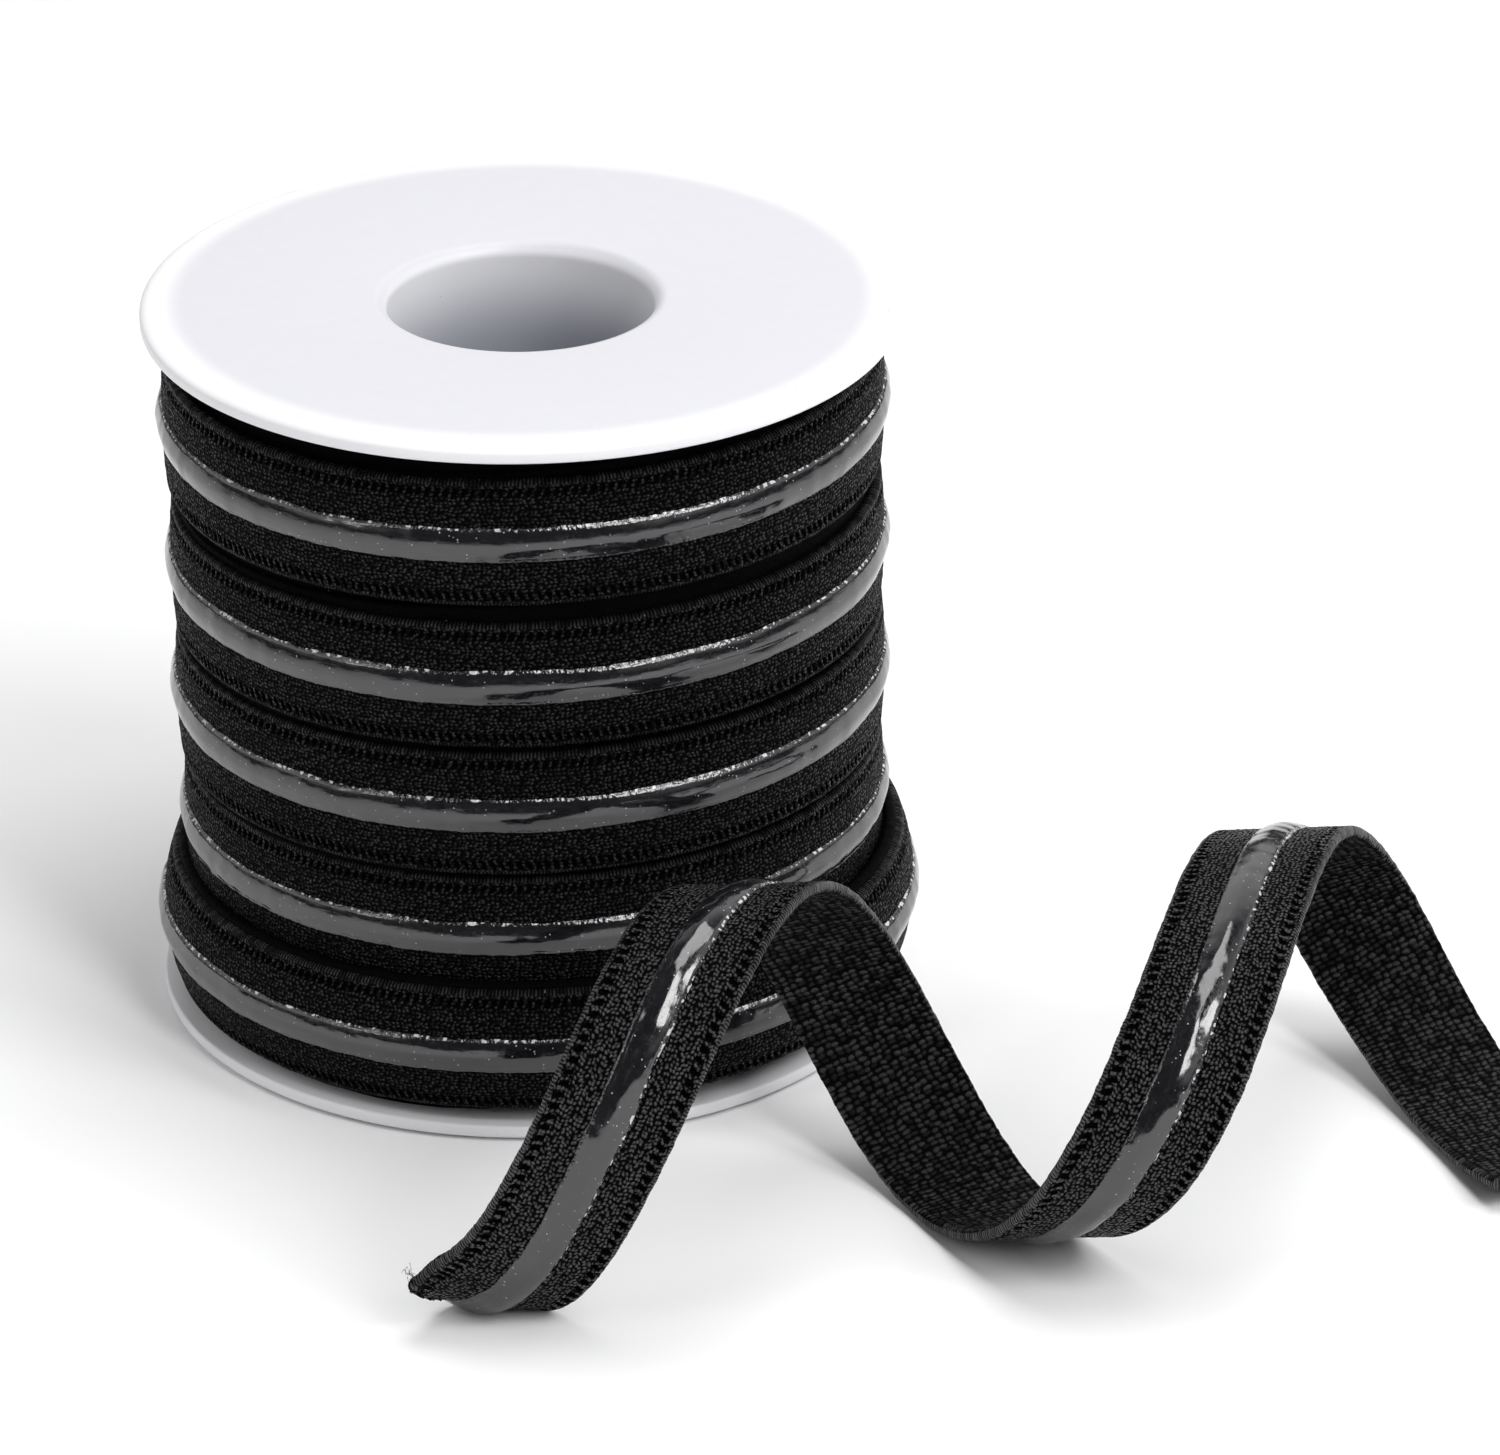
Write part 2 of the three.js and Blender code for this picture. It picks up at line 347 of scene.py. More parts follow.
def elastic_face(name, ladder_pitch, painted_light_level):
    """The outer face: slanting rows of stitches, a row of holes between short bars, and a
    thread wrapped round each edge.
    """
    material, tree, shader = new_material(name)
    place, along, across = flat_place(tree)
    lumps, tone = add_stitches(tree, along, across, STITCH_ALONG, STITCH_ACROSS, 0.3, 0.6)
    aside = tree.maths("ABSOLUTE", across)
    edge = tree.ramp(aside, TAPE_WIDTH / 2 - EDGE_WIDE - 0.15, TAPE_WIDTH / 2 - EDGE_WIDE)
    wrap = tree.maths("MULTIPLY", along, 2 * math.pi / RIB_PITCH)
    wrap = tree.maths("MULTIPLY_ADD", tree.maths("COSINE", wrap), 0.4, 0.62)
    near = tree.maths("SUBTRACT", aside, LADDER_MIDDLE)
    near = tree.maths("MULTIPLY", near, 1 / LADDER_HALF)
    near = tree.maths("SUBTRACT", 1.0, tree.maths("MULTIPLY", near, near), clamp=True)
    slanted = tree.maths("MULTIPLY_ADD", aside, 0.35, along)
    step = tree.maths("COSINE", tree.maths("MULTIPLY", slanted, 2 * math.pi / ladder_pitch))
    row = tree.ramp(near, 0.0, 0.35)
    step = tree.maths("ADD", step, -0.8)
    step = tree.maths("MULTIPLY_ADD", tree.noise(place, 0.8, 2.0), 1.6, step)
    hole = tree.maths("MULTIPLY", tree.ramp(step, -0.1, 0.6), row)
    bar = tree.maths("MULTIPLY", tree.ramp(step, -0.6, -1.1), row)
    height = tree.maths("MULTIPLY_ADD", bar, 0.3, lumps)
    height = tree.maths("MULTIPLY_ADD", hole, -1.6, height)
    height = tree.add("ShaderNodeMix", {"Factor": edge, "A": height, "B": wrap}).outputs[0]
    finish_cloth(tree, shader, height, tone, place, painted_light_level)
    return material


def elastic_back():
    """The inner face: larger lumps, in rows."""
    material, tree, shader = new_material("elastic_back")
    place, along, across = flat_place(tree)
    lumps, tone = add_stitches(tree, along, across, BACK_ALONG, BACK_ACROSS, 0.0, 0.35)
    lumps = tree.maths("MULTIPLY_ADD", lumps, 1.1, 0.15)
    finish_cloth(tree, shader, lumps, tone, place, 1.3)
    return material


def inner_layers(name, painted_light_level):
    """Yarn without a weave of its own; at a low level it is painted near black, as painted shade
    where it fills the gaps between and under the wound turns.
    """
    material, tree, shader = new_material(name)
    place = tree.add("ShaderNodeTexCoord").outputs["Object"]
    place = tree.add(
        "ShaderNodeMapping", {"Vector": place, "Scale": (1000, 1000, 1000)}
    ).outputs[0]
    lumps = tree.noise(place, 1.5, 3.0)
    finish_cloth(tree, shader, lumps, lumps, place, painted_light_level)
    return material


def silicone_line():
    """Cloudy, dark and glossy, with many small trapped bubbles and milky wisps, and a dashed
    painted highlight along its upper edge, which turns down.
    """
    material, tree, shader = new_material("silicone_line")
    place, along, across = flat_place(tree)
    cells = tree.add(
        "ShaderNodeTexVoronoi", {"Vector": place, "Scale": 2.0, "Randomness": 1.0}
    ).outputs
    chance = tree.add("ShaderNodeSeparateXYZ", {"Vector": cells["Color"]}).outputs
    size = tree.ramp(chance["X"], 0.4, 1.0, 0.0, 0.2)
    bubble = tree.ramp(tree.maths("SUBTRACT", cells["Distance"], size), -0.04, 0.0, 1.0, 0.0)
    stretched = tree.add(
        "ShaderNodeMapping", {"Vector": place, "Scale": (0.35, 1.0, 1.0)}
    ).outputs[0]
    wisp = tree.ramp(tree.noise(stretched, 1.4, 5.0, 0.7), 0.5, 0.75)
    cloud = tree.noise(place, 0.6, 4.0, 0.7)
    colour = tree.between(tree.ramp(cloud, 0.3, 0.7), grey(0.004, 0.0015), grey(0.009, 0.0025))
    colour = tree.between(wisp, colour, grey(0.022, 0.003))
    colour = tree.between(bubble, colour, grey(0.36))
    # Painted highlight: light dashes along the upper edge, where light glints off it.
    highlight_brink = tree.ramp(across, 1.78, 1.86)
    painted_highlight = tree.maths("MULTIPLY", highlight_brink, tree.ramp(tree.noise(place, 1.1, 3.0), 0.53, 0.57))
    colour = tree.between(painted_highlight, colour, grey(0.6))
    tree.tree.links.new(colour, shader.inputs["Base Color"])
    rough = tree.ramp(tree.noise(place, 2.5, 3.0), 0.3, 0.7, 0.06, 0.18)
    tree.tree.links.new(rough, shader.inputs["Roughness"])
    ripple = tree.noise(stretched, 0.8, 2.0, 0.5)
    edge = tree.ramp(tree.maths("ABSOLUTE", across), 1.45, 2.0)
    lumps = tree.maths("MULTIPLY", tree.noise(place, 1.7, 2.0), edge)
    height = tree.maths("MULTIPLY_ADD", lumps, 4.0, ripple)
    turned_down = tree.ramp(across, 1.5, 2.05, 0.0, -3.4)
    height = tree.maths("ADD", height, turned_down)
    height = tree.maths("MULTIPLY_ADD", bubble, 0.25, height)
    bump = tree.add("ShaderNodeBump", {"Height": height, "Strength": 0.6, "Distance": 0.00008})
    tree.tree.links.new(bump.outputs[0], shader.inputs["Normal"])
    shader.inputs["IOR"].default_value = 1.8
    return material


def spool_plastic():
    """White moulded plastic with a faint grain and a few grey specks. Its top face inside the rim
    is painted greyer, as painted shade, so that the rim reads lighter, and its bore is painted
    darker from the lip down, as painted shade.
    """
    material, tree, shader = new_material("spool_plastic")
    place = tree.add("ShaderNodeTexCoord").outputs["Object"]
    speck = tree.ramp(tree.noise(place, 1400.0, 1.0), 0.80, 0.83)
    cloud = tree.ramp(tree.noise(place, 60.0, 3.0), 0.3, 0.7)
    colour = tree.between(cloud, (0.83, 0.83, 0.855, 1), (0.86, 0.86, 0.88, 1))
    colour = tree.between(speck, colour, grey(0.45))
    shift = (-AXIS_FOOT[0], -AXIS_FOOT[1], 0)
    middle = tree.add("ShaderNodeMapping", {"Vector": place, "Location": shift}).outputs[0]
    flat = tree.add(
        "ShaderNodeVectorMath", {0: middle, 1: (1, 1, 0)}, operation="MULTIPLY"
    ).outputs[0]
    radius = tree.add("ShaderNodeVectorMath", {0: flat}, operation="LENGTH").outputs["Value"]
    height = tree.add("ShaderNodeSeparateXYZ", {"Vector": place}).outputs["Z"]
    # Painted shade: the top face inside the rim is painted greyer than the rim, which reads
    # lighter.
    top = tree.ramp(height, (SPOOL_HEIGHT - 1.2) * MM, (SPOOL_HEIGHT - 0.2) * MM)
    inside_rim = tree.ramp(radius, (FLANGE_RADIUS - 1.2) * MM, (FLANGE_RADIUS - 5) * MM)
    face = tree.maths("MULTIPLY", top, inside_rim)
    colour = tree.between(face, colour, (0.625, 0.625, 0.662, 1))
    # Painted shade: the bore is painted darker from its lip downwards.
    deep = tree.ramp(height, (SPOOL_HEIGHT - 0.5) * MM, (SPOOL_HEIGHT - 13) * MM)
    bore = tree.ramp(radius, (BORE_RADIUS + 1.8) * MM, (BORE_RADIUS + 1.2) * MM)
    colour = tree.between(tree.maths("MULTIPLY", deep, bore), colour, (0.35, 0.36, 0.405, 1))
    tree.tree.links.new(colour, shader.inputs["Base Color"])
    rough = tree.ramp(tree.noise(place, 350.0, 4.0), 0.3, 0.7, 0.32, 0.46)
    tree.tree.links.new(rough, shader.inputs["Roughness"])
    grain = tree.noise(place, 2600.0, 2.0)
    bump = tree.add("ShaderNodeBump", {"Height": grain, "Strength": 0.15, "Distance": 0.00004})
    tree.tree.links.new(bump.outputs[0], shader.inputs["Normal"])
    shader.inputs["IOR"].default_value = 1.46
    return material


# Lit and shaded copies of one black elastic: the last number paints each copy brighter or darker
# for the light it gets, the loose length lightest and the layers under the outer turns near
# black, as painted shade.
ELASTIC_FACE = elastic_face("elastic_face", LADDER_PITCH, 0.95)
LOOSE_FACE = elastic_face("loose_face", LOOSE_LADDER_PITCH, 4.5)
ELASTIC_BACK = elastic_back()
INNER_LAYERS = inner_layers("inner_layers", 0.05)
YARN = inner_layers("loose_yarn", 2.0)
SILICONE = silicone_line()
PLASTIC = spool_plastic()


def smooth(share):
    share = np.clip(share, 0, 1)
    return share * share * (3 - 2 * share)


def wander(along, pitch, seed):
    """A smooth uneven line from -1 to 1, with a new height about every pitch."""
    random = np.random.default_rng(seed)
    knots = random.uniform(-1, 1, int(along.max() / pitch) + 3)
    place = np.clip(along / pitch, 0, len(knots) - 2)
    whole = np.floor(place).astype(int)
    share = smooth(place - whole)
    return knots[whole] * (1 - share) + knots[whole + 1] * share


def along_turns(turn, column):
    """A column of TURNS, which changes smoothly from row to row at the back."""
    shifted = turn + CROSSING / 2
    row = np.minimum(np.floor(shifted), len(TURNS) - 1).astype(int)
    share = smooth((shifted - row) / CROSSING)
    before = TURNS[np.maximum(row - 1, 0), column]
    return before + (TURNS[row, column] - before) * share


def rows_of(*columns):
    return np.stack(columns, axis=-1)


def wound_path(turn):
    """Place on the tape's outer face, the way across it and the way out of it."""
    angle = math.pi - turn * 2 * math.pi
    radius = along_turns(turn, RADIUS) - CLIMB_RISE * (1 - smooth(turn / CLIMB_TURNS))
    out = rows_of(np.sin(angle), -np.cos(angle), np.zeros_like(angle))
    height = along_turns(turn, MIDDLE) + WOUND_TILT * np.sin(angle)
    place = out * radius[:, None]
    place[:, 0] += along_turns(turn, ASIDE)
    place[:, 2] = height
    across = np.broadcast_to((0.0, 0.0, 1.0), place.shape)
    return place, across, out


def under_path(turn):
    """The layer under the outer one, wound at a slightly steeper slant."""
    angle = math.pi - turn * 2 * math.pi
    out = rows_of(np.sin(angle), -np.cos(angle), np.zeros_like(angle))
    place = out * UNDER_RADIUS
    whole = np.floor(turn + CROSSING / 2)
    share = smooth((turn + CROSSING / 2 - whole) / CROSSING)
    row = np.clip(whole - 1 + share, 0, UNDER_ROWS - 1)
    place[:, 2] = UNDER_TOP - UNDER_STEP * row + UNDER_TILT * np.sin(angle)
    across = np.broadcast_to((0.0, 0.0, 1.0), place.shape)
    return place, across, out


def loose_middle(angle):
    """The middle of the loose length's outer face."""
    turns = angle / (2 * math.pi)
    facing = LOOSE_TURNED + LOOSE_TURNED_GAIN * turns
    half_height = LOOSE_HALF_HEIGHT + LOOSE_HALF_HEIGHT_GAIN * turns
    inward = -(LOOSE_HALF_DEPTH + LOOSE_HALF_DEPTH_GAIN * turns) * np.cos(angle)
    return rows_of(
        LOOSE_START[0] + LOOSE_PULL[0] * turns - inward * np.sin(facing),
        LOOSE_START[1] + LOOSE_PULL[1] * turns + inward * np.cos(facing),
        half_height * (1 + np.sin(angle)) + LOOSE_LIFT,
    )


def unit(vectors):
    return vectors / np.linalg.norm(vectors, axis=1, keepdims=True)


def loose_path(angle):
    """As wound_path, for the loose length."""
    small = 1e-3
    along = unit(loose_middle(angle + small) - loose_middle(angle - small))
    facing = LOOSE_TURNED + LOOSE_TURNED_GAIN * angle / (2 * math.pi)
    axis = rows_of(np.cos(facing), np.sin(facing), np.zeros_like(angle))
    across = unit(axis - along * np.sum(axis * along, axis=1, keepdims=True))
    out = np.cross(across, along)
    return loose_middle(angle), across, out


def even_steps(path, start, end, steps):
    """Parameters of a path that are evenly spaced along it, and the millimetres to each."""
    fine = np.linspace(start, end, 4001)
    place = path(fine)[0]
    reached = np.concatenate([[0], np.cumsum(np.linalg.norm(np.diff(place, axis=0), axis=1))])
    along = np.linspace(0, reached[-1], steps + 1)
    return np.interp(along, reached, fine), along


def stitches(along, across, pitch_along, pitch_across):
    """Heights from 0 to 1 of round lumps in rows that are offset by half a lump."""
    row = across / pitch_across
    turn = along / pitch_along + 0.5 * row + 0.15 * np.sin(along * 0.9 + row * 2.4)
    return np.cos(math.pi * turn) ** 2 * np.cos(math.pi * (row + 0.2 * np.sin(along * 1.7))) ** 2


def face_relief(along, across, half_width, ladder_pitch):
    """Heights of the outer face: a field of stitches, and a row of holes beside each edge."""
    aside = np.abs(across)
    middle = LADDER_MIDDLE * half_width * 2 / TAPE_WIDTH
    field = smooth((middle - LADDER_HALF - aside) / 0.3)
    relief = STITCH_RISE * stitches(along, across, STITCH_ALONG, STITCH_ACROSS) * field
    near = np.clip(1 - ((aside - middle) / LADDER_HALF) ** 2, 0, 1)
    step = np.cos(2 * math.pi * (along + 0.35 * aside) / ladder_pitch)
    return relief - LADDER_DEPTH * near * smooth(step / 0.7)


def back_relief(along, across):
    """Heights of the inner face."""
    return -BACK_RISE * stitches(along, across, BACK_ALONG, BACK_ACROSS)


def link_piece(name, mesh, materials, slot, *nodes):
    piece = add_object(name, mesh)
    for material in materials:
        mesh.materials.append(material)
    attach(piece, "root")
    if nodes:
        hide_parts(*nodes)
    return piece


def read(parts, name, width=None):
    """The values of one attribute of a mesh's parts: whole numbers, or rows of width numbers."""
    values = np.empty(len(parts) * (width or 1), np.float32 if width else np.int32)
    parts.foreach_get(name, values)
    return values.reshape(-1, width) if width else values


def rolled_strip(name, steps, section, bend):
    """A closed strip from a flat grid. section says how many stations go round it, and bend
    takes each vertex's step and station to its place, and its flat place for the weave.
    """
    bm = bmesh.new()
    bmesh.ops.create_grid(bm, x_segments=steps, y_segments=section, size=0.5)
    mesh = bpy.data.meshes.new(name)
    bm.to_mesh(mesh)
    bm.free()
    flat = read(mesh.vertices, "co", 3)
    step = np.rint((flat[:, 0] + 0.5) * steps).astype(int)
    station = np.rint((flat[:, 1] + 0.5) * section).astype(int)
    points, weave = bend(step, station)
    points = points * MM + AXIS_FOOT
    mesh.vertices.foreach_set("co", points.astype(np.float32).ravel())
    corners = read(mesh.loops, "vertex_index")
    layer = mesh.uv_layers.new(name="flat")
    layer.uv.foreach_set("vector", weave[corners].astype(np.float32).ravel())
    bm = bmesh.new()
    bm.from_mesh(mesh)
    seam = [v for v in bm.verts if v.is_boundary]
    bmesh.ops.remove_doubles(bm, verts=seam, dist=1e-7)
    ends = [e for e in bm.edges if e.is_boundary]
    bmesh.ops.holes_fill(bm, edges=ends, sides=0)
    bmesh.ops.recalc_face_normals(bm, faces=bm.faces)
    bm.to_mesh(mesh)
    bm.free()
    sides = read(mesh.polygons, "loop_total")
    mesh.polygons.foreach_set("use_smooth", sides == 4)  # its two end faces stay flat
    return mesh


def tape_section(half_width, across_steps, edge_steps, back_steps):
    """Stations round a tape: across it on the outer face, round an edge, back on the inner
    face and round the other edge. Each is (across, rise, face), where face is 1 on the outer
    face, -1 on the inner one and 0 round an edge.
    """
    flat_half = half_width - EDGE_WIDE
    out = [(x, 0.0, 1) for x in np.linspace(-flat_half, flat_half, across_steps + 1)]
    turn = np.linspace(math.pi / 2, -math.pi / 2, edge_steps + 2)[1:-1]
    half_thick = TAPE_THICK / 2
    round_edge = [
        (flat_half + EDGE_WIDE * math.cos(a), half_thick * (math.sin(a) - 1), 0) for a in turn
    ]
    back = [(x, -TAPE_THICK, -1) for x in np.linspace(flat_half, -flat_half, back_steps + 1)]
    other_edge = [(-x, rise, face) for x, rise, face in reversed(round_edge)]
    stations = out + round_edge + back + other_edge
    return np.array(stations + stations[:1])


def left_share(across):
    """From 0 just right of the loose length's middle to 1 at its left edge."""
    return np.clip(-across / (LOOSE_WIDTH / 2) + 0.15, 0, 2) / 1.15


def slanted_cut(along, across):
    """Where the loose length's cut end starts, a little ragged and shorter on the left."""
    ragged = 0.3 * np.sin(across * 4.1) + 0.25 * np.sin(across * 9.7 + 1)
    ragged += 0.2 * np.sin(across * 1.3)
    shorter = CUT_SLANT * left_share(across) ** 1.3 * (1 - smooth(along / CUT_SLANT_FADE))
    return along + shorter + (0.8 + ragged) * np.exp(-along / 0.8)


def curled(points, along, across):
    """Lays the loose length's cut end forward on the floor and curls up its left side."""
    share = left_share(across)
    fade = np.exp(-((along / CURL_FADE) ** 1.3))
    corner = smooth((-across - 4.9) / 2.5) * np.exp(-((along / CORNER_FADE) ** 2))
    points[:, 2] += CURL_UP * fade * share**1.2 + CORNER_UP * corner
    points[:, 0] += CURL_SIDEWAYS * fade * share**2 - 0.5 * corner
    points[:, 1] -= SAG_FORWARD * (1 - smooth(along / SAG_FADE))
    return points


def at_length(values, along, wanted):
    """Rows of values, one for each length in along, read off at the lengths in wanted."""
    return rows_of(*(np.interp(wanted, along, column) for column in values.T))


def tape_mesh(
    name, path, start, end, steps, stations, half_width, ladder_pitch, along_from=0.0, floor=False
):
    """A tape along a path, with its weave and slightly uneven edges. along_from is the length
    of tape before it. floor is for the loose length, which has a cut end and lies on the floor.
    """
    parameters, along = even_steps(path, start, end, steps)
    place, across_way, out_way = path(parameters)
    frayed = 0.05 * wander(along, 0.4, steps) + 0.04 * wander(along, 1.9, steps + 1)
    along = along + along_from
    drawn_in = along_turns(parameters, DRAWN_IN) if path is wound_path else 0 * parameters

    def bend(step, station):
        across, rise, face = stations[station].T
        rise = rise - drawn_in[step] * (across / half_width) ** 2
        flat_along = along[step]
        lift = np.where(face > 0, face_relief(flat_along, across, half_width, ladder_pitch), 0)
        lift = np.where(face < 0, back_relief(flat_along, across), lift)
        height = rise + lift
        across = across + np.sign(across) * np.where(face == 0, frayed[step], 0)
        middle, sideways, outwards = place[step], across_way[step], out_way[step]
        if floor:
            flat_along = slanted_cut(flat_along, across)
            middle = at_length(place, along, flat_along)
            outwards = at_length(out_way, along, flat_along)
        points = middle + sideways * across[:, None] + outwards * height[:, None]
        if floor:
            points = curled(points, flat_along, across)
            points[:, 2] = np.maximum(points[:, 2], LEAST_TAPE)
        return points, rows_of(flat_along, across)

    return rolled_strip(name, steps, len(stations) - 1, bend)


def bead_mesh(name, path, start, end, steps, seed, tapers=(0, 0), floor=False):
    """A domed line of silicone with uneven edges, sunk a little into the weave. tapers gives
    the millimetres over which its start and its end thin out.
    """
    around = np.sin(np.linspace(-math.pi / 2, math.pi / 2, 23))
    dome = (1 - np.abs(around) ** 1.45) ** 0.85
    shoulder = BEAD_SHOULDER * (1 - around**8) ** 0.5
    section = list(zip(around, dome, shoulder)) + [(0.5, 0.0, 0.0), (-0.5, 0.0, 0.0)]
    section = np.array(section + section[:1])
    parameters, along = even_steps(path, start, end, steps)
    place, across_way, out_way = path(parameters)
    # Each line is even at its ends, so that one turn's meets the next turn's.
    steady = smooth(np.minimum(along, along[-1] - along) / 5)
    left = 0.07 * wander(along, 1.1, seed) + 0.08 * wander(along, 7.0, seed + 1)
    left = BEAD_HALF + left * steady
    right = 0.07 * wander(along, 1.3, seed + 2) + 0.08 * wander(along, 6.0, seed + 3)
    right = BEAD_HALF + right * steady
    swell = 1 + 0.05 * wander(along, 5.0, seed + 4) * steady
    uneven = 0.35 * wander(along, 9.0, seed + 6) + 0.25 * wander(along, 1.6, seed + 7)
    uneven = 1 + uneven * steady
    lumpy = 0.05 * wander(along, 0.8, seed + 5) * steady
    thin = np.ones_like(along)
    for taper, reached in zip(tapers, (along, along[-1] - along)):
        if taper:
            thin *= np.clip(reached / taper, 0.03, 1) ** 0.5
    left, right, swell = left * thin, right * thin, swell * thin

    def bend(step, station):
        x, dome_rise, shoulder_rise = section[station].T
        across = x * np.where(x < 0, left[step], right[step])
        rise = (dome_rise + shoulder_rise * uneven[step]) * BEAD_RISE * swell[step]
        lumps = lumpy[step] * np.abs(x) ** 3 * (dome_rise > 0)
        height = rise - BEAD_SUNK + lumps
        points = (
            place[step] + across_way[step] * across[:, None] + out_way[step] * height[:, None]
        )
        if floor:
            points = curled(points, along[step] + SET_BACK_LENGTH, across)
            points[:, 2] = np.maximum(points[:, 2], LEAST_BEAD)
        return points, rows_of(along[step], across)

    return rolled_strip(name, steps, len(section) - 1, bend)


def quarter_round(centre, wide, deep, steps):
    """Points of a quarter ellipse about centre, from its side to its top."""
    return [
        (
            centre[0] + wide * math.cos(i / steps * math.pi / 2),
            centre[1] + deep * math.sin(i / steps * math.pi / 2),
        )
        for i in range(steps + 1)
    ]


def turned_mesh(name, outline, segments):
    """Spins a closed outline of (radius, height) points about the spool's axis."""
    bm = bmesh.new()
    points = [bm.verts.new((r, 0, z)) for r, z in outline]
    edges = [bm.edges.new((a, b)) for a, b in zip(points, points[1:] + points[:1])]
    bmesh.ops.spin(
        bm, geom=points + edges, cent=(0, 0, 0), axis=(0, 0, 1), dvec=(0, 0, 0),
        angle=2 * math.pi, steps=segments, use_merge=True,
    )
    bmesh.ops.remove_doubles(bm, verts=bm.verts, dist=1e-4)
    bmesh.ops.recalc_face_normals(bm, faces=bm.faces)
    mesh = bpy.data.meshes.new(name)
    bmesh.ops.transform(bm, matrix=INTO_FRAME, verts=bm.verts)
    bm.to_mesh(mesh)
    bm.free()
    mesh.polygons.foreach_set("use_smooth", [True] * len(mesh.polygons))
    return mesh


def spool_outline():
    """The spool's section as (radius, height), its lower half a mirror of its upper one."""
    half = SPOOL_HEIGHT / 2
    rim = (FLANGE_RADIUS - RIM_WIDE, half - RIM_DEEP)
    lip = (BORE_RADIUS + LIP_ROUND, half - LIP_ROUND)
    inner = (FLANGE_RADIUS - RIM_INNER, half - FLANGE_THICK + RIM_INNER)
    upper = [(BARREL_RADIUS, half - FLANGE_THICK), (BARREL_RADIUS + 0.3, half - FLANGE_THICK)]
    upper += quarter_round(inner, RIM_INNER, -RIM_INNER, 3)[::-1]
    upper += quarter_round(rim, RIM_WIDE, RIM_DEEP, 10)
    upper += quarter_round(lip, -LIP_ROUND, LIP_ROUND, 10)[::-1]
    upper += [(BORE_RADIUS, half - LIP_ROUND - 0.3)]
    lower = [(r, -z) for r, z in upper][::-1]
    return [(r, z + half) for r, z in upper + lower]


def make_spool():
    mesh = turned_mesh("spool_body", spool_outline(), SPOOL_SEGMENTS)
    link_piece("spool_body", mesh, [PLASTIC], "spool_plastic", "spool")


BAND_STEPS, UNDER_STEPS, BEAD_STEPS = 940, 1100, 460
BAND_STATIONS = tape_section(TAPE_WIDTH / 2, 42, 5, 1)
COARSE_STATIONS = tape_section(TAPE_WIDTH / 2, 16, 4, 1)
UNDER_STATIONS = tape_section(TAPE_WIDTH / 2, 12, 3, 1)
TURN_LENGTH = 2 * math.pi * TURNS[0, RADIUS]


def make_bands():
    for turn in range(len(TURNS)):
        covered = turn in COVERED_TURNS
        steps = BAND_STEPS // 2 if covered else BAND_STEPS
        stations = COARSE_STATIONS if covered else BAND_STATIONS
        name = f"band_{turn + 1}"
        mesh = tape_mesh(
            name, wound_path, turn, turn + 1, steps, stations, TAPE_WIDTH / 2, LADDER_PITCH,
            turn * TURN_LENGTH,
        )
        # The turns that the last turn lies on are painted near black, as painted shade under it.
        cloth = INNER_LAYERS if covered else ELASTIC_FACE
        link_piece(name, mesh, [cloth], "elastic", "wound_elastic")


def make_under_layers():
    mesh = tape_mesh(
        "under_layer", under_path, UNDER_FROM, UNDER_TO, UNDER_STEPS, UNDER_STATIONS,
        TAPE_WIDTH / 2, LADDER_PITCH,
    )
    # The layer under the outer one and the wound core are painted near black, as painted shade in
    # the gaps between the turns.
    link_piece("under_layer", mesh, [INNER_LAYERS], "elastic", "wound_elastic")
    low = FLANGE_THICK + CORE_GAP
    high = SPOOL_HEIGHT - low
    inner = BARREL_RADIUS + CORE_GAP
    outline = [(inner, low), (CORE_RADIUS, low), (CORE_RADIUS, high), (inner, high)]
    core = turned_mesh("wound_core", outline, CORE_SEGMENTS)
    core.polygons.foreach_set("use_smooth", [False] * len(core.polygons))
    link_piece("wound_core", core, [INNER_LAYERS], "elastic", "wound_elastic")


def make_beads():
    for turn in range(UPPER_ROWS):
        first, last = turn == 0, turn == UPPER_ROWS - 1
        start = BEAD_START if first else turn
        end = BEAD_DIVE if last else turn + 1
        tapers = (BEAD_TAPER if first else 0, BEAD_TAPER if last else 0)
        name = f"silicone_{turn + 1}"
        mesh = bead_mesh(name, wound_path, start, end, BEAD_STEPS, 10 * turn, tapers)
        link_piece(name, mesh, [SILICONE], "silicone", "silicone_on_bands")
    mesh = bead_mesh(
        "silicone_last", wound_path, LAST_BEAD_START, LAST_BEAD_END, BEAD_STEPS, 70,
        (BEAD_TAPER, BEAD_TAPER),
    )
    link_piece("silicone_last", mesh, [SILICONE], "silicone", "silicone_on_last_turn")


LOOSE_STEPS, LOOSE_BEAD_STEPS = 960, 900


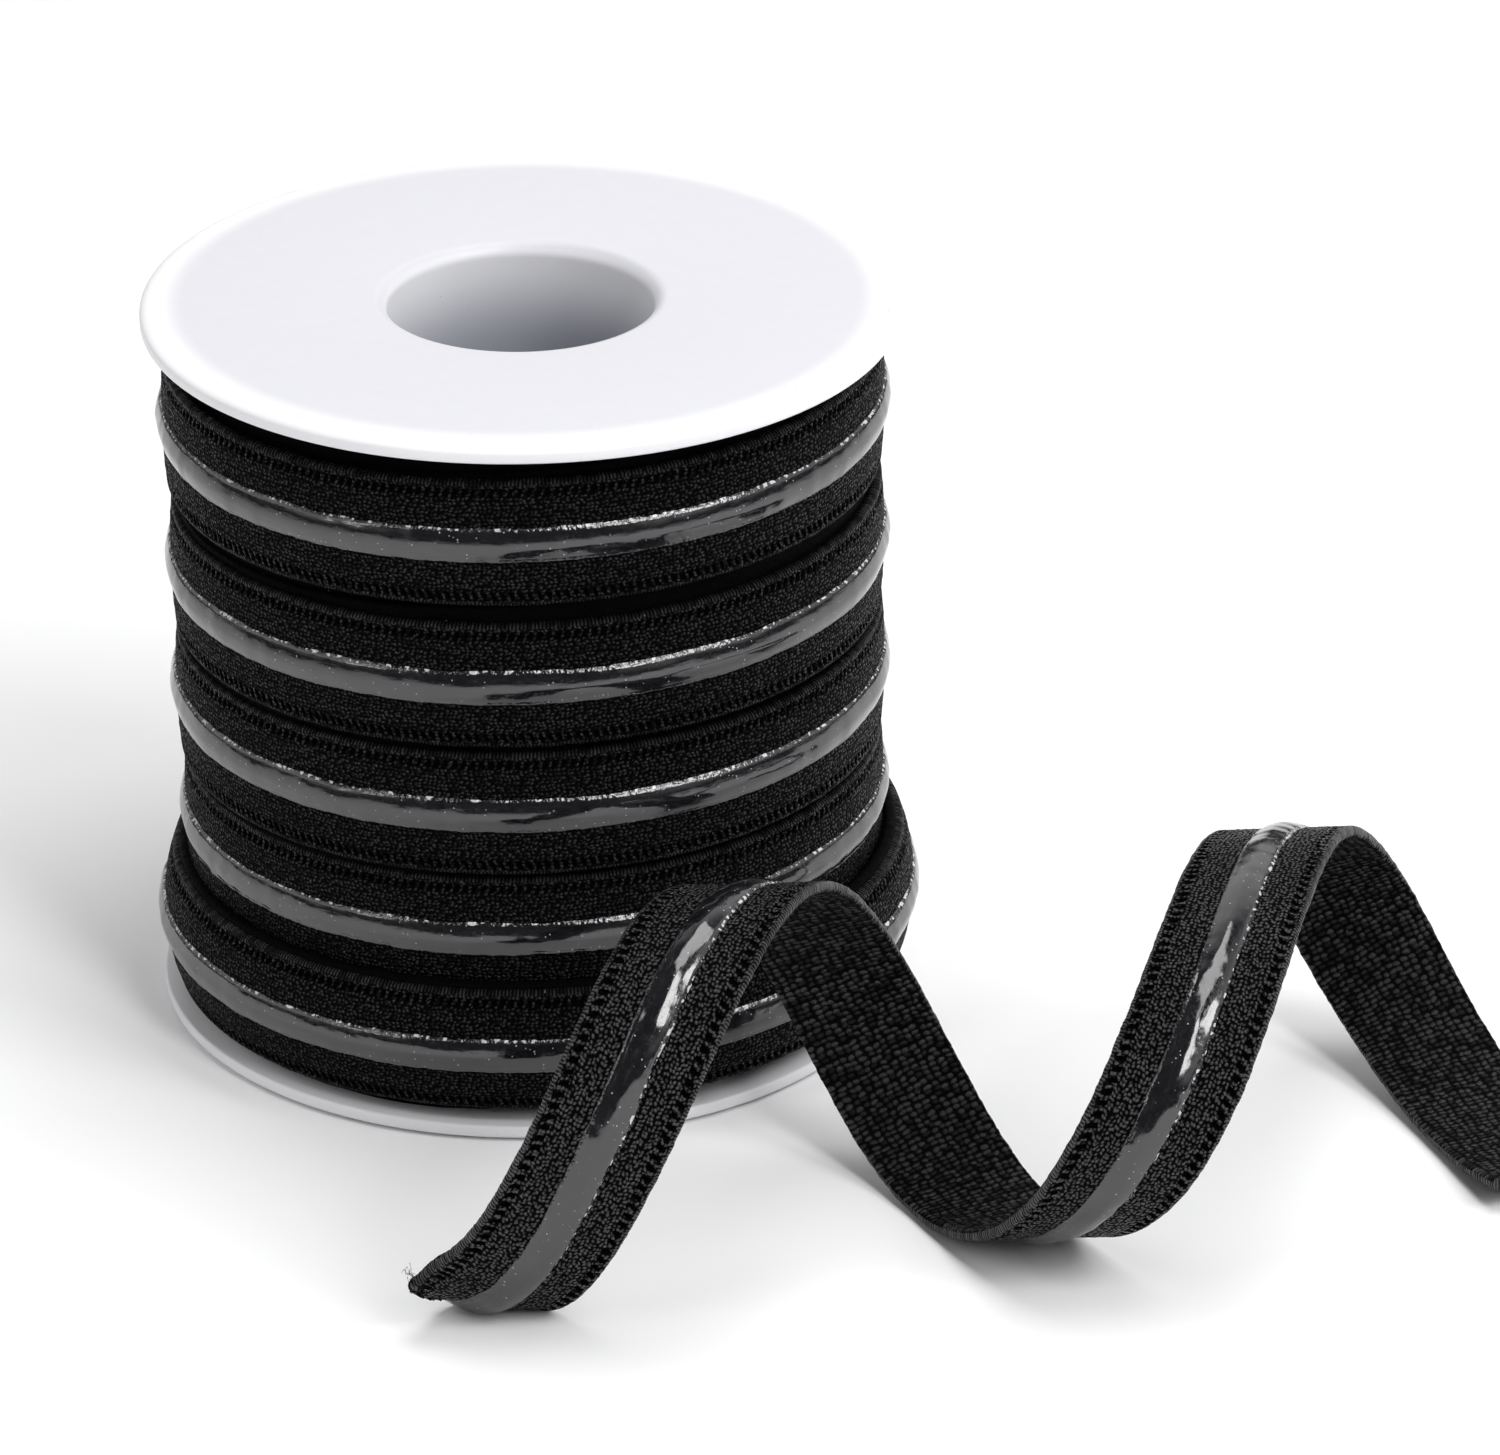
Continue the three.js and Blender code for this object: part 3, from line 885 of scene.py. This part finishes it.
def make_frayed_threads(count=90):
    """Short yarn ends that stick out of the loose length's cut, many of them at its left."""
    random = np.random.default_rng(5)
    across = random.uniform(-LOOSE_WIDTH / 2, LOOSE_WIDTH / 2 - 2, count)
    across[: count // 3] = random.uniform(-LOOSE_WIDTH / 2, -LOOSE_WIDTH / 4, count // 3)
    start = slanted_cut(np.zeros(count), across)
    parameters, along = even_steps(loose_path, LOOSE_FROM, LOOSE_TO, LOOSE_STEPS)
    place, sideways, outwards = (at_length(v, along, start) for v in loose_path(parameters))
    depth = random.uniform(-TAPE_THICK, 0, count)
    roots = place + sideways * across[:, None] + outwards * depth[:, None]
    roots = curled(roots, start, across)
    back = unit(np.cross(outwards, sideways))
    bm = bmesh.new()
    for root, backwards, out in zip(roots, back, outwards):
        way = Vector(backwards) * random.uniform(0.3, 1.0)
        way += Vector(out) * random.uniform(-0.2, 0.7) + Vector((random.uniform(-0.6, 0.3), 0, 0))
        point, thick = Vector(root), random.uniform(0.03, 0.07)
        for _ in range(3):
            way = (way + Vector(random.uniform(-0.5, 0.5, 3))).normalized()
            length = random.uniform(0.15, 0.45)
            turn = way.to_track_quat("Z", "Y").to_matrix().to_4x4()
            bmesh.ops.create_cone(
                bm, cap_ends=True, segments=5, radius1=thick, radius2=thick * 0.7, depth=length,
                matrix=Matrix.Translation(point + way * length / 2) @ turn,
            )
            point, thick = point + way * length * 0.92, thick * 0.7
    for vertex in bm.verts:
        vertex.co.z = max(vertex.co.z, LEAST_YARN)
    bmesh.ops.transform(bm, matrix=INTO_FRAME, verts=bm.verts)
    mesh = bpy.data.meshes.new("frayed_threads")
    bm.to_mesh(mesh)
    bm.free()
    return link_piece("frayed_threads", mesh, [YARN], "elastic", "loose_length")


def make_loose_length():
    stations = tape_section(LOOSE_WIDTH / 2, 46, 5, 38)
    mesh = tape_mesh(
        "loose_elastic", loose_path, LOOSE_FROM, LOOSE_TO, LOOSE_STEPS, stations,
        LOOSE_WIDTH / 2, LOOSE_LADDER_PITCH, floor=True,
    )
    piece = link_piece(
        "loose_elastic", mesh, [LOOSE_FACE, ELASTIC_BACK], "elastic", "loose_length"
    )
    # The faces that look inwards get the inner face's material.
    flat = read(mesh.uv_layers["flat"].uv, "vector", 2)
    normals = read(mesh.polygons, "normal", 3)
    starts = read(mesh.polygons, "loop_start")
    parameters, along = even_steps(loose_path, LOOSE_FROM, LOOSE_TO, LOOSE_STEPS)
    out_way = loose_path(parameters)[2]
    step = np.rint(flat[starts, 0] / along[-1] * LOOSE_STEPS).astype(int)
    outwards = out_way[np.clip(step, 0, LOOSE_STEPS)]
    inside = np.sum(normals * outwards, axis=1) < -0.25
    mesh.polygons.foreach_set("material_index", inside.astype(np.int32))
    mesh.update()
    bead = bead_mesh(
        "silicone_loose", loose_path, LOOSE_FROM + SET_BACK, LOOSE_TO - SET_BACK,
        LOOSE_BEAD_STEPS, 90, floor=True,
    )
    line = link_piece(
        "silicone_loose", bead, [SILICONE], "silicone", "silicone_on_loose_length"
    )
    threads = make_frayed_threads()


def add_light(name, place, size, radiance):
    """A soft box that faces the reel, with its place and size in metres."""
    data = bpy.data.lights.new(name, "AREA")
    data.shape = "RECTANGLE"
    data.size, data.size_y = size
    data.energy = radiance * math.pi * size[0] * size[1]
    light = add_object(name, data)
    light.location = place
    aim = Vector((0, 0, 0.03)) - Vector(place)
    light.rotation_euler = aim.to_track_quat("-Z", "Y").to_euler()


def make_stage():
    bm = bmesh.new()
    bmesh.ops.create_grid(bm, x_segments=2, y_segments=2, size=6)
    mesh = bpy.data.meshes.new("floor")
    bm.to_mesh(mesh)
    bm.free()
    floor = add_object("floor", mesh)
    material, _, shader = new_material("floor_paper")
    shader.inputs["Base Color"].default_value = (0.93, 0.93, 0.935, 1)
    shader.inputs["Roughness"].default_value = 0.9
    shader.inputs["Specular IOR Level"].default_value = 0.1
    mesh.materials.append(material)

    add_light("light_above", (0.15, 0.12, 1.15), (0.8, 0.7), 4.0)
    add_light("light_key", (0.445, -0.71, 0.93), (0.22, 0.9), 9.0)
    add_light("light_right", (0.765, -0.44, 0.884), (0.36, 0.42), 8.5)
    add_light("light_left", (-0.85, -0.6, 0.8), (0.2, 1.0), 2.6)

    # A dark room in front of the reel, with pale walls at its sides and behind it.
    world = bpy.data.worlds.new("studio")
    world.use_nodes = True
    sky = Tree(world.node_tree)
    towards = sky.add("ShaderNodeTexCoord").outputs["Generated"]
    parts = sky.add("ShaderNodeSeparateXYZ", {"Vector": towards}).outputs
    right = sky.ramp(parts["X"], 0.35, 0.7, 0.0, 0.85)
    left = sky.ramp(parts["X"], -0.45, -0.85, 0.0, 1.0)
    sides = sky.maths("MAXIMUM", right, left)
    behind = sky.ramp(parts["Y"], 0.35, 0.75)
    bright = sky.maths("MAXIMUM", sides, behind)
    bright = sky.maths("MULTIPLY", bright, sky.ramp(parts["Z"], 0.04, 0.35))
    colour = sky.maths("MAXIMUM", bright, 0.06)
    background = world.node_tree.nodes["Background"]
    sky.tree.links.new(colour, background.inputs["Color"])
    background.inputs["Strength"].default_value = 1.0
    bpy.context.scene.world = world
    bpy.context.scene.view_settings.view_transform = "Standard"


make_stage()
make_spool()
make_bands()
make_under_layers()
make_beads()
make_loose_length()
